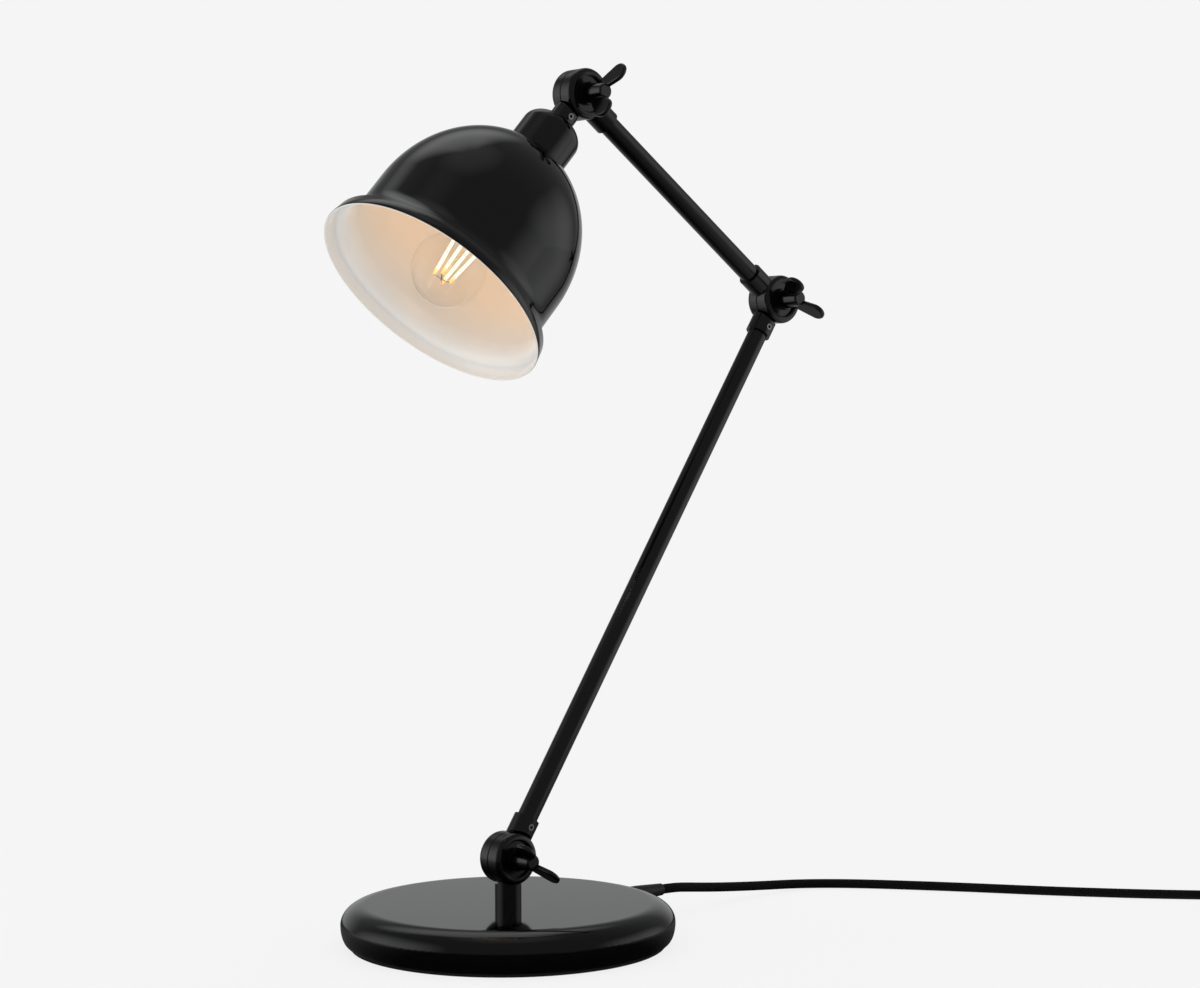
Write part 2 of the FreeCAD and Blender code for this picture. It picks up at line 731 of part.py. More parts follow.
def bell(inset):
    """Filled form of the shade, or of its inside when inset by the wall."""
    r = shade_dia / 2 - inset
    dome = shade_dome_height - inset
    top = cup_end + inset
    start = math.degrees(math.asin((shade_widest - top) / dome))
    band, rim = shade_band_dia / 2 - inset, shade_rim_dia / 2 - inset
    flare = band - r
    low = shade_rim_end + (1 if inset else 0)
    edge = r * math.cos(math.radians(start))
    edges = [
        Part.makeLine(V(0, 0, top), V(edge, 0, top)),
        quarter((0, shade_widest), r, dome, -start, 0),
        Part.makeLine(V(r, 0, shade_widest), V(r, 0, shade_skirt_end)),
        quarter((band, shade_skirt_end), flare, shade_band_start + inset - shade_skirt_end, 90, 180),
        Part.makeLine(V(band, 0, shade_band_start + inset), V(rim, 0, low)),
        Part.makeLine(V(rim, 0, low), V(0, 0, low)),
        Part.makeLine(V(0, 0, low), V(0, 0, top)),
    ]
    return spun(Part.Wire(Part.__sortEdges__(edges)))


def shade():
    """Spun steel bell: flat top, elliptical dome, straight skirt, flare and upright hem band."""
    def at_top(solid, z):
        return [e for e in solid.Edges
                if abs(e.BoundBox.ZMin - z) < 1e-3 and abs(e.BoundBox.ZMax - z) < 1e-3
                and e.BoundBox.XMax > 1]
    outer, inner = bell(0), bell(shade_wall)
    outer = outer.makeFillet(shade_top_round, at_top(outer, cup_end))
    inner = inner.makeFillet(shade_top_round - shade_wall, at_top(inner, cup_end + shade_wall))
    shell = outer.cut(inner)
    return shell.cut(Part.makeCylinder(nipple_dia / 2 + slide_gap, shade_widest))


def holder_cap():
    """Upper half of the lampholder, screwed on the nipple and clamping the shade's top."""
    r, low = holder_dia / 2, cup_end + shade_wall
    bore = nipple_dia / 2 + slide_gap
    inner = r - holder_wall
    high = low + holder_cap_length
    grip = low + holder_thread_grip
    return spun(outline([
        (bore, low), (holder_top_dia / 2, low, 1.0), (r, low + 6, 4.0), (r, high),
        (inner, high), (inner, grip), (bore, grip),
    ]))


def holder_body():
    """Lower half of the lampholder: a skirt with the bore for the screw shell."""
    r = holder_dia / 2
    low = cup_end + shade_wall + holder_cap_length
    step = low + core_length - 1.5
    throat = bulb_cap_dia / 2 + 0.25 + screw_shell_wall + slide_gap
    return spun(outline([
        (r - holder_wall, low), (r, low), (r, holder_end, 1.2), (throat, holder_end, 0.6),
        (throat, step), (r - holder_wall, step),
    ]))


def holder_inside():
    """Ceramic core, brass screw shell and centre contact of the lampholder."""
    core_low = cup_end + shade_wall + holder_cap_length - 1.5
    core_high = core_low + core_length
    shell_in = bulb_cap_dia + 0.5
    core = Part.makeCylinder(holder_dia / 2 - holder_wall - slide_gap, core_length, V(0, 0, core_low))
    shell = ring(shell_in + 2 * screw_shell_wall, shell_in, core_high, holder_end - 4)
    contact = Part.makeCylinder(2.5, bulb_cap_start - bulb_contact_height - core_high,
                                V(0, 0, core_high))
    return {"holder_core": core, "holder_screw_shell": shell, "holder_contact": contact}


def bulb_form(inset):
    """Filled form of the bulb's glass, or of its inside: neck and globe."""
    r = bulb_dia / 2 - inset
    neck, waist = bulb_neck_dia / 2 - inset, bulb_cap_dia / 2 - 0.5 - inset
    low = bulb_neck_end - 7 - (1 if inset else 0)
    join = neck * 1.5
    join_z = bulb_middle - math.sqrt(r ** 2 - join ** 2)
    pole = V(0, 0, bulb_middle + r)
    edges = [
        Part.makeLine(V(0, 0, low), V(waist, 0, low)),
        Part.makeLine(V(waist, 0, low), V(waist, 0, bulb_neck_end + 0.3)),
        Part.makeLine(V(waist, 0, bulb_neck_end + 0.3), V(neck, 0, bulb_neck_end + 4)),
        Part.makeLine(V(neck, 0, bulb_neck_end + 4), V(join, 0, join_z)),
        Part.Arc(V(join, 0, join_z), V(r, 0, bulb_middle), pole).toShape(),
        Part.makeLine(pole, V(0, 0, low)),
    ]
    return spun(Part.Wire(edges))


def bulb():
    """Clear globe lamp: cap, glass, glass stem, filament sticks and the wires that hold them."""
    cap_r = bulb_cap_dia / 2
    cap = spun(outline([
        (0, bulb_cap_start), (cap_r - 1.5, bulb_cap_start, 0.4), (cap_r, bulb_cap_start + 3, 0.6),
        (cap_r, bulb_neck_end), (cap_r - 0.4, bulb_neck_end), (cap_r - 0.4, bulb_cap_start + 3.4),
        (0, bulb_cap_start + 3.4),
    ]))
    tip = Part.makeCylinder(2.2, bulb_contact_height,
                            V(0, 0, bulb_cap_start - bulb_contact_height))
    cap = cap.fuse(tip).removeSplitter()
    stem_low = bulb_neck_end - 6
    stem_top = filament_foot - 2
    stem = spun(outline([
        (0, stem_low), (cap_r - 2.2, stem_low), (bulb_stem_dia / 2, stem_low + 7),
        (bulb_stem_dia / 2, stem_top, 1.0), (0, stem_top),
    ]))
    sticks, wires = [], []
    high = filament_tip + 1.2
    thin = filament_wire_dia / 2
    wires.append(Part.makeCylinder(thin, high - stem_top, V(0, 0, stem_top)))
    for k in range(filament_count):
        a = math.radians(360 / filament_count * (k + 0.5))
        out = V(math.cos(a), math.sin(a), 0)
        foot = out * filament_foot_spread + V(0, 0, filament_foot)
        end = out * filament_tip_spread + V(0, 0, filament_tip)
        sticks.append(Part.makeCylinder(filament_dia / 2, (end - foot).Length, foot, end - foot))
        for start, stop in ((V(0, 0, stem_top + thin), foot), (V(0, 0, high - thin), end)):
            wires.append(Part.makeCylinder(thin, (stop - start).Length, start, stop - start))
    frame = wires[0].fuse(wires[1:])
    return {
        "bulb_cap": cap,
        "bulb_glass": bulb_form(0).cut(bulb_form(bulb_glass_wall)),
        "bulb_stem": stem,
        "bulb_filament_wires": frame,
        "bulb_filaments": Part.makeCompound([s.cut(frame) for s in sticks]),
    }


def head():
    """Neck knuckle, canopy, shade, lampholder and bulb, all drawn along the head's own axis."""
    inner_top = cup_end + shade_wall
    pieces = {
        "neck_knuckle": knuckle_half(REAR, neck_reach, nipple_dia),
        "neck_set_screw": set_screw(REAR, neck_reach),
        "neck_nipple": ring(nipple_dia, nipple_bore, socket_start + slide_gap,
                            inner_top + holder_thread_grip),
        "head_leads": cores(nipple_bore, socket_start + 1, inner_top + holder_cap_length - 1.5),
        "shade_cup": cup(),
        "shade": shade(),
        "holder_cap": holder_cap(),
        "holder_body": holder_body(),
    }
    pieces.update(holder_inside())
    pieces.update(bulb())
    return {name: placed(shape, head_pivot, shade_along) for name, shape in pieces.items()}


def joint_hardware(name, pivot, rear_along, wing_turn):
    """Bolt, washers and wing nut of one knuckle, the bolt's square set in the rear half."""
    pieces = {
        name + "_pivot_bolt": placed(pivot_bolt(), V(0, 0, 0), rear_along),
        name + "_friction_washer": friction_washer(),
        name + "_nut_washer": nut_washer(),
        name + "_wing_nut": wing_nut(wing_turn),
    }
    for shape in pieces.values():
        shape.translate(pivot)
    return pieces


def lamp():
    """All pieces by node name."""
    pieces = base()
    pieces.update(arm("lower_arm", base_pivot, elbow_pivot, lower_arm_length, REAR))
    pieces.update(arm("upper_arm", elbow_pivot, head_pivot, upper_arm_length, FRONT))
    pieces.update(head())
    lower_along = polar(lower_arm_angle, 1)
    pieces.update(joint_hardware("base", base_pivot, lower_along, base_wing_turn))
    pieces.update(joint_hardware("elbow", elbow_pivot, lower_along, elbow_wing_turn))
    pieces.update(joint_hardware("head", head_pivot, shade_along, head_wing_turn))
    pieces["cord_tube"] = tube_along(cord_route, cord_dia)
    pieces.update(cord_coil_and_plug())
    return pieces


def main():
    os.makedirs("parts", exist_ok=True)
    for name, shape in lamp().items():
        shape.exportStep(os.path.join("parts", name + ".step"))
        box = shape.BoundBox
        print("%-24s solids %d valid %s volume %9.1f  z %.1f..%.1f"
              % (name, len(shape.Solids), shape.isValid(), shape.Volume, box.ZMin, box.ZMax))
    for name, at in (("base", base_pivot), ("elbow", elbow_pivot), ("head", head_pivot)):
        print("%s pivot %.5f %.5f %.5f" % (name, at.x / 1000, at.y / 1000, at.z / 1000))


main()
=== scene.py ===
import bmesh
import bpy
import math
from mathutils import Matrix, Vector


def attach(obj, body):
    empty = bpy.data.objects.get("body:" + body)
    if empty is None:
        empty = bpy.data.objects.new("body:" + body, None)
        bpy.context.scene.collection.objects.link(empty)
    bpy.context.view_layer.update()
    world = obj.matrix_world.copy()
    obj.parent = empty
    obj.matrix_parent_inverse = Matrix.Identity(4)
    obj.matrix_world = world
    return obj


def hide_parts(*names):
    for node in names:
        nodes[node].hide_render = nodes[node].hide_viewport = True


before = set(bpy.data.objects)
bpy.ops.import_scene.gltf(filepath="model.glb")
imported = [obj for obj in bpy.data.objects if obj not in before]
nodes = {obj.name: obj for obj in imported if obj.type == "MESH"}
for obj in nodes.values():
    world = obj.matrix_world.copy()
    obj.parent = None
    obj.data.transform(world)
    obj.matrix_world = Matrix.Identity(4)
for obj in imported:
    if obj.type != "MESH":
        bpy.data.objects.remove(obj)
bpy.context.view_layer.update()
scene = bpy.context.scene
mm = 0.001
arms = ("lower_arm", "upper_arm")
joints = ("base", "elbow", "head")


# --- Camera --------------------------------------------------------------------------------------
# The eye stands 1.54 m from the base at 0.32 m above the table, level but for a slight dip and
# roll, with a portrait lens. The picture is 1200 x 988, and its middle is the lens axis.
picture_width = 1200
focal_in_pixels = 2595.2
eye = Vector((-0.95034, -1.21714, 0.31553))
heading, dip, roll = math.radians(40.051), math.radians(1.732), math.radians(-0.205)

ahead = Vector((math.sin(heading) * math.cos(dip), math.cos(heading) * math.cos(dip),
                -math.sin(dip)))
right = Vector((math.cos(heading), -math.sin(heading), 0))
above = right.cross(ahead)
camera = bpy.data.objects.new("camera", bpy.data.cameras.new("camera"))
camera.data.sensor_width = 36     # mm
camera.data.lens = focal_in_pixels * camera.data.sensor_width / picture_width
camera.data.clip_start, camera.data.clip_end = 0.05, 30
turned = Matrix((right, above, -ahead)).transposed().to_4x4()
camera.matrix_world = Matrix.Translation(eye) @ turned @ Matrix.Rotation(roll, 4, "Z")
scene.collection.objects.link(camera)
scene.camera = camera
scene.view_settings.view_transform = "Standard"


# --- Paper sweep and daylight --------------------------------------------------------------------
# A seamless pale paper lies on the table and fades into the wall behind. What the lens and the
# glass see of it is plain paper white, and the paper keeps a faint shadow of the lamp. The gloss
# shows a dim room with a few soft panels: a cloth-fronted lamp at each side, one above and behind
# the shade, and the pale wall. Each has its middle, half its width and the width of its soft end
# in degrees from straight ahead, its lower and upper edge above the horizon with the height of
# its soft end, and its brightness. The paper's shadow fades out between two distances from the
# base, and what the gloss shows of the paper grows paler between two others, all in metres.
paper_white = "#f5f5f5"
cool_white = "#fdfeff"
daylight_level = 0.85
paper_size = 12.0
room_level = 0.2
shadow_start, shadow_end, shadow_share = 0.25, 0.9, 0.1
mirror_start, mirror_end, mirror_near, mirror_far = 0.1, 0.6, 0.05, 0.85
panels = [
    (80, 8, 42, -20, 6, 38, 0.85),      # right
    (-98, 6, 50, -20, 8, 52, 1.30),     # left
    (-15, 16, 36, 52, 66, 26, 1.00),    # above the wall
    (-8, 22, 40, -20, 6, 34, 0.50),     # wall
    (0, 180, 10, 84, 90, 34, 0.40),     # ceiling
]


def paint(code, alpha=1.0):
    """sRGB hex to the linear colour that a shader takes."""
    parts = [int(code[i:i + 2], 16) / 255 for i in (1, 3, 5)]
    return [p / 12.92 if p <= 0.04045 else ((p + 0.055) / 1.055) ** 2.4 for p in parts] + [alpha]


def add(tree, kind, inputs=(), **settings):
    """Adds a shader node; its inputs are plain values or sockets of nodes that are there."""
    made = tree.nodes.new("ShaderNode" + kind)
    for key, value in settings.items():
        setattr(made, key, value)
    for key, value in dict(inputs).items():
        if isinstance(value, bpy.types.NodeSocket):
            tree.links.new(value, made.inputs[key])
        else:
            made.inputs[key].default_value = value
    return made


def room(tree, way):
    """Brightness of the room in a direction, as the gloss shows it."""
    across = add(tree, "VectorMath", {0: way, 1: right}, operation="DOT_PRODUCT").outputs["Value"]
    onward = add(tree, "VectorMath", {0: way, 1: (math.sin(heading), math.cos(heading), 0)},
                 operation="DOT_PRODUCT").outputs["Value"]
    up = add(tree, "SeparateXYZ", {0: way}).outputs["Z"]
    turn = add(tree, "Math", {0: across, 1: onward}, operation="ARCTAN2").outputs[0]
    rise = add(tree, "Math", {0: up}, operation="ARCSINE").outputs[0]
    total = None
    for middle, half, soft_turn, low, high, soft_rise, level in panels:
        away = add(tree, "Math", {0: turn, 1: math.radians(middle)}, operation="SUBTRACT")
        away = add(tree, "Math", {0: away.outputs[0]}, operation="ABSOLUTE")
        shares = [add(tree, "MapRange", {
            "Value": value, "From Min": math.radians(start), "From Max": math.radians(end),
            "To Min": first, "To Max": 1 - first}, interpolation_type="SMOOTHSTEP").outputs[0]
            for value, start, end, first in ((away.outputs[0], half, half + soft_turn, 1),
                                             (rise, low - soft_rise, low, 0),
                                             (rise, high, high + soft_rise, 1))]
        share = add(tree, "Math", {0: shares[0], 1: shares[1]}, operation="MULTIPLY")
        share = add(tree, "Math", {0: share.outputs[0], 1: shares[2]}, operation="MULTIPLY")
        panel = add(tree, "Math", {0: share.outputs[0], 1: level}, operation="MULTIPLY")
        so_far = total.outputs[0] if total else room_level
        total = add(tree, "Math", {0: panel.outputs[0], 1: so_far}, operation="MAXIMUM")
    return total.outputs[0]


world = bpy.data.worlds.new("paper_room")
scene.world = world
world.use_nodes = True
world.cycles.sampling_method = "NONE"
tree = world.node_tree
tree.nodes.clear()
rays = add(tree, "LightPath").outputs
spot = add(tree, "TexCoord").outputs["Generated"]
seen = add(tree, "Math", {0: rays["Is Camera Ray"], 1: rays["Is Transmission Ray"]},
           operation="MAXIMUM").outputs[0]
plain = add(tree, "Background", {"Color": paint("#ffffff"), "Strength": daylight_level})
gloss = add(tree, "Background", {"Color": paint(cool_white), "Strength": room(tree, spot)})
paper = add(tree, "Background", {"Color": paint(paper_white), "Strength": 1.0})
lit = add(tree, "MixShader", {0: rays["Is Glossy Ray"], 1: plain.outputs[0], 2: gloss.outputs[0]})
final = add(tree, "MixShader", {0: seen, 1: lit.outputs[0], 2: paper.outputs[0]})
add(tree, "OutputWorld", {"Surface": final.outputs[0]})

material = bpy.data.materials.new("pale_paper")
material.use_nodes = True
material.cycles.emission_sampling = "NONE"
tree = material.node_tree
tree.nodes.clear()
rays = add(tree, "LightPath").outputs
place = add(tree, "NewGeometry").outputs["Position"]
far = add(tree, "VectorMath", {0: place}, operation="LENGTH").outputs["Value"]
near_share = add(tree, "MapRange", {"Value": far, "From Min": shadow_start,
                                    "From Max": shadow_end, "To Min": shadow_share,
                                    "To Max": 0.0}).outputs[0]
matt = add(tree, "BsdfDiffuse", {"Color": paint("#f7f7f7")})
glow = add(tree, "Emission", {"Color": paint(paper_white)})
seen_paper = add(tree, "MixShader", {0: near_share, 1: glow.outputs[0], 2: matt.outputs[0]})
outward = add(tree, "VectorMath", {0: place}, operation="NORMALIZE").outputs["Vector"]
far_share = add(tree, "MapRange", {"Value": far, "From Min": mirror_start,
                                   "From Max": mirror_end, "To Min": mirror_near,
                                   "To Max": mirror_far}).outputs[0]
mirrored = add(tree, "Math", {0: room(tree, outward), 1: far_share}, operation="MULTIPLY")
dull = add(tree, "Emission", {"Color": paint(cool_white), "Strength": mirrored.outputs[0]})
seen = add(tree, "Math", {0: rays["Is Camera Ray"], 1: rays["Is Transmission Ray"]},
           operation="MAXIMUM").outputs[0]
lit = add(tree, "MixShader", {0: rays["Is Glossy Ray"], 1: matt.outputs[0], 2: dull.outputs[0]})
final = add(tree, "MixShader", {0: seen, 1: lit.outputs[0], 2: seen_paper.outputs[0]})
add(tree, "OutputMaterial", {"Surface": final.outputs[0]})

mesh = bpy.data.meshes.new("paper")
half = paper_size / 2
mesh.from_pydata([(-half, -half, 0), (half, -half, 0), (half, half, 0), (-half, half, 0)], [],
                 [(0, 1, 2, 3)])
mesh.materials.append(material)
paper_sheet = bpy.data.objects.new("paper", mesh)
scene.collection.objects.link(paper_sheet)


# --- Soft boxes ----------------------------------------------------------------------------------
# Three cloth-fronted lamps light what isn't glossy: a tall one at the camera's right, a wide one
# overhead and a tall, stronger one at the left. Neither the lens nor the gloss shows them.
def soft_box(name, place, aim, width, height, brightness):
    """Rectangular lamp whose face has the given brightness, where 1 is white."""
    lamp = bpy.data.lights.new(name, "AREA")
    lamp.shape, lamp.size, lamp.size_y = "RECTANGLE", width, height
    lamp.energy = brightness * math.pi * width * height
    made = bpy.data.objects.new(name, lamp)
    made.location = place
    made.rotation_euler = (Vector(aim) - Vector(place)).to_track_quat("-Z", "Y").to_euler()
    scene.collection.objects.link(made)
    made.visible_camera = made.visible_glossy = False


middle = Vector((0.05, 0, 0.3))
soft_box("right_box", middle + right * 1.5 - ahead * 0.7 + above * 0.25, middle, 0.55, 0.9, 1.0)
soft_box("top_box", middle + above * 1.5 + ahead * 0.35, middle, 1.3, 0.8, 1.2)
soft_box("left_box", middle - right * 1.6 - ahead * 0.2 + above * 0.2, middle, 0.5, 1.0, 1.8)


# --- Base: pad, plate, weight and fixings --------------------------------------------------------
# A cast-iron disc gives the base its weight, on a zinc-plated steel plate with three screws and
# a foam-rubber pad. The iron is raw from the sand, and the plate and screws come from the roll.
def finish(name):
    """An empty material named for its finish, with its tree."""
    made = bpy.data.materials.new(name)
    made.use_nodes = True
    made.node_tree.nodes.clear()
    return made, made.node_tree


def wear(names, finish_material):
    """Gives CAD nodes their finish."""
    for name in names:
        slots = nodes[name].data.materials
        slots.clear()
        slots.append(finish_material)


def close(tree, shader):
    """Ends a tree in its output."""
    add(tree, "OutputMaterial", {"Surface": shader.outputs[0]})


# EVA foam rubber, closed cells of about 0.4 mm: dull black with a fine pitted skin.
foam_rubber, tree = finish("moulded_eva_foam")
spot = add(tree, "TexCoord").outputs["Object"]
cells = add(tree, "TexVoronoi", {"Vector": spot, "Scale": 1 / (0.8 * mm)})
tone = add(tree, "Mix", {"Factor": cells.outputs["Distance"], 6: paint("#161616"),
                         7: paint("#242424")}, data_type="RGBA")
dents = add(tree, "Bump", {"Height": cells.outputs["Distance"], "Distance": 0.1 * mm,
                           "Strength": 0.6})
close(tree, add(tree, "BsdfPrincipled", {"Base Color": tone.outputs[2], "Roughness": 0.9,
                                         "IOR": 1.45, "Normal": dents.outputs[0]}))
wear(["base_pad"], foam_rubber)

# Grey cast iron, raw from a sand mould: sand grains of about 0.5 mm leave a rough dark skin.
cast_iron, tree = finish("sand_cast_iron")
spot = add(tree, "TexCoord").outputs["Object"]
grains = add(tree, "TexNoise", {"Vector": spot, "Scale": 1 / (1.2 * mm), "Detail": 4})
tone = add(tree, "Mix", {"Factor": grains.outputs[0], 6: paint("#4b4a4a"), 7: paint("#6f6d6b")},
           data_type="RGBA")
dents = add(tree, "Bump", {"Height": grains.outputs[0], "Distance": 0.25 * mm, "Strength": 0.8})
close(tree, add(tree, "BsdfPrincipled", {"Base Color": tone.outputs[2], "Metallic": 0.8,
                                         "Roughness": 0.62, "Normal": dents.outputs[0]}))
wear(["base_weight"], cast_iron)

# Bright zinc plate on rolled steel: a bluish silver with spangles of about 4 mm.
zinc_plate, tree = finish("zinc_plated_steel")
spot = add(tree, "TexCoord").outputs["Object"]
spangle = add(tree, "TexVoronoi", {"Vector": spot, "Scale": 1 / (4 * mm)})
tone = add(tree, "Mix", {"Factor": spangle.outputs["Distance"], 6: paint("#b9bdc2"),
                         7: paint("#d3d6d9")}, data_type="RGBA")
gloss = add(tree, "MapRange", {"Value": spangle.outputs["Distance"], "To Min": 0.26,
                               "To Max": 0.38})
close(tree, add(tree, "BsdfPrincipled", {"Base Color": tone.outputs[2], "Metallic": 1.0,
                                         "Roughness": gloss.outputs[0]}))
wear(["base_plate", "base_plate_screws", "base_nipple", "base_lock_nut", "base_lock_washer",
      "neck_nipple"] + [j + "_pivot_bolt" for j in joints], zinc_plate)


# --- Base cover, cup and outside of the shade ----------------------------------------------------
# Spun steel sprayed with black stoving lacquer and baked. It mirrors the room like dark glass,
# with a faint orange peel of about 5 mm.
lacquer, tree = finish("black_stoving_lacquer")
spot = add(tree, "TexCoord").outputs["Object"]
peel = add(tree, "TexNoise", {"Vector": spot, "Scale": 1 / (5 * mm), "Detail": 1.5})
haze = add(tree, "TexNoise", {"Vector": spot, "Scale": 1 / (45 * mm), "Detail": 3})
gloss = add(tree, "MapRange", {"Value": haze.outputs[0], "From Min": 0.3, "From Max": 0.7,
                               "To Min": 0.04, "To Max": 0.09})
dents = add(tree, "Bump", {"Height": peel.outputs[0], "Distance": 0.02 * mm, "Strength": 0.35})
close(tree, add(tree, "BsdfPrincipled", {"Base Color": paint("#040404"), "IOR": 1.5,
                                         "Roughness": gloss.outputs[0],
                                         "Normal": dents.outputs[0]}))
wear(["shade_cup"], lacquer)

# The base's coat is the same black lacquer, copied with a weaker mirror (Specular IOR Level 0.4):
# painted shade in its reflections, for the dimmer room that the base sees.
shaded_base_lacquer = lacquer.copy()
shaded_base_lacquer.name = "black_stoving_lacquer_shaded"
coat = shaded_base_lacquer.node_tree.nodes["Principled BSDF"]
coat.inputs["Specular IOR Level"].default_value = 0.4
wear(["base_cover"], shaded_base_lacquer)


# --- Knuckles, post, arm tubes and wing nuts -----------------------------------------------------
# Turned and cast knuckles, the short post, drawn tubes and cast wing nuts, all sprayed with black
# semi-gloss lacquer, a thinner film than the cover's.
satin, tree = finish("black_satin_lacquer")
spot = add(tree, "TexCoord").outputs["Object"]
peel = add(tree, "TexNoise", {"Vector": spot, "Scale": 1 / (4 * mm), "Detail": 1})
haze = add(tree, "TexNoise", {"Vector": spot, "Scale": 1 / (14 * mm), "Detail": 2})
gloss = add(tree, "MapRange", {"Value": haze.outputs[0], "From Min": 0.3, "From Max": 0.7,
                               "To Min": 0.12, "To Max": 0.19})
dents = add(tree, "Bump", {"Height": peel.outputs[0], "Distance": 0.01 * mm, "Strength": 0.3})
close(tree, add(tree, "BsdfPrincipled", {"Base Color": paint("#040404"), "IOR": 1.5,
                                         "Roughness": gloss.outputs[0],
                                         "Normal": dents.outputs[0]}))
wear(["base_post", "neck_knuckle"] + [a + "_tube" for a in arms]
     + [a + k for a in arms for k in ("_lower_knuckle", "_upper_knuckle")]
     + [j + k for j in joints for k in ("_wing_nut", "_nut_washer")], satin)


# --- Set screws ----------------------------------------------------------------------------------
# Headless stainless screws with a hexagon socket, one in each knuckle's stem. They are turned
# bright, with fine rings round their axis.
bright_steel, tree = finish("turned_stainless_steel")
spot = add(tree, "TexCoord").outputs["Object"]
rings = add(tree, "TexNoise", {"Vector": spot, "Scale": 1 / (0.4 * mm), "Detail": 2})
gloss = add(tree, "MapRange", {"Value": rings.outputs[0], "To Min": 0.18, "To Max": 0.34})
close(tree, add(tree, "BsdfPrincipled", {"Base Color": paint("#8b8782"), "Metallic": 1.0,
                                         "Roughness": gloss.outputs[0]}))
wear(["base_post_set_screw", "neck_set_screw"] + [a + "_set_screws" for a in arms], bright_steel)


# --- Friction washers ----------------------------------------------------------------------------
# Red vulcanised fibre washers between the halves of each knuckle, punched from sheet.
fibre, tree = finish("punched_vulcanised_fibre")
spot = add(tree, "TexCoord").outputs["Object"]
fibres = add(tree, "TexNoise", {"Vector": spot, "Scale": 1 / (1.5 * mm), "Detail": 4})
tone = add(tree, "Mix", {"Factor": fibres.outputs[0], 6: paint("#6e2a1e"), 7: paint("#8a3b2a")},
           data_type="RGBA")
close(tree, add(tree, "BsdfPrincipled", {"Base Color": tone.outputs[2], "Roughness": 0.7}))
wear([j + "_friction_washer" for j in joints], fibre)


# --- Leads in the arms ---------------------------------------------------------------------------
# Two single conductors with brown PVC, extruded, through both arms and into the head.
lead_pvc, tree = finish("extruded_brown_pvc")
spot = add(tree, "TexCoord").outputs["Object"]
drift = add(tree, "TexNoise", {"Vector": spot, "Scale": 1 / (8 * mm)})
tone = add(tree, "Mix", {"Factor": drift.outputs[0], 6: paint("#4a3020"), 7: paint("#5b3c28")},
           data_type="RGBA")
close(tree, add(tree, "BsdfPrincipled", {"Base Color": tone.outputs[2], "Roughness": 0.4,
                                         "IOR": 1.5}))
wear(["lower_arm_leads", "upper_arm_leads", "head_leads"], lead_pvc)


# --- Terminals -----------------------------------------------------------------------------------
# Two-way terminal block of white nylon, injection moulded, hidden in the base.
nylon, tree = finish("moulded_white_nylon")
spot = add(tree, "TexCoord").outputs["Object"]
drift = add(tree, "TexNoise", {"Vector": spot, "Scale": 1 / (3 * mm)})
tone = add(tree, "Mix", {"Factor": drift.outputs[0], 6: paint("#dedbd0"), 7: paint("#eae7de")},
           data_type="RGBA")
close(tree, add(tree, "BsdfPrincipled", {"Base Color": tone.outputs[2], "Roughness": 0.42,
                                         "IOR": 1.53}))
wear(["base_terminals"], nylon)


# --- Shade ---------------------------------------------------------------------------------------
# One sheet of steel spun to a bell, with its hem turned to an upright band. The outside has the
# cup's lacquer. The inside is white vitreous enamel that wraps round the edge of the hem. The
# sizes are in mm, those along the axis counted from the head's pivot.
tilt = math.radians(47.5)
base_pivot_height, lower_reach, upper_reach = 51.7, 404.0, 202.0
lower_lean, upper_lean = math.radians(56.9), math.radians(36.4)
head_pivot = Vector((0, 0, base_pivot_height))
head_pivot += lower_reach * Vector((math.cos(lower_lean), 0, math.sin(lower_lean)))
head_pivot += upper_reach * Vector((-math.cos(upper_lean), 0, math.sin(upper_lean)))
head_pivot *= mm
shade_axis = Vector((-math.cos(tilt), 0, -math.sin(tilt)))
sheet = 1.1
top_hole, shade_top, top_round = 5.05, 59.0, 7.0
dome_middle, dome_radius, dome_height = 126.0, 64.1, 73.0
skirt_end, band_start, band_radius = 147.0, 160.0, 72.3
rim_end, rim_radius = 168.0, 73.7
turns = 192


def arc(centre, across, along, start, end, steps):
    """Points (radius, distance) on part of an ellipse; 0 is outward, 90 is onward."""
    return [(centre[0] + across * math.cos(math.radians(start + (end - start) * k / steps)),
             centre[1] + along * math.sin(math.radians(start + (end - start) * k / steps)))
            for k in range(steps + 1)]


def bell_line(inset):
    """The shade's profile from the hole at its top to its rim, in mm along its axis."""
    r, dome = dome_radius - inset, dome_height - inset
    top = shade_top + inset
    bend = top_round - inset
    # The rounded top edge leaves the flat top and meets the dome where both share a tangent.
    for step in range(9000):
        angle = math.radians(step / 100)
        normal = math.atan2(math.sin(angle) * r, math.cos(angle) * dome)
        if dome_middle - dome * math.sin(angle) + bend * math.sin(normal) <= top + bend:
            break
    centre = (r * math.cos(angle) - bend * math.cos(normal), top + bend)
    line = [(top_hole, top)]
    line += arc(centre, bend, bend, -90, -math.degrees(normal), 8)
    line += arc((0, dome_middle), r, dome, -math.degrees(angle), 0, 30)[1:]
    line += [(r, skirt_end)]
    flare = band_radius - dome_radius
    line += arc((band_radius - inset, skirt_end), -flare, band_start + inset - skirt_end, 0, 90,
                12)[1:]
    return line + [(rim_radius - inset, rim_end)]


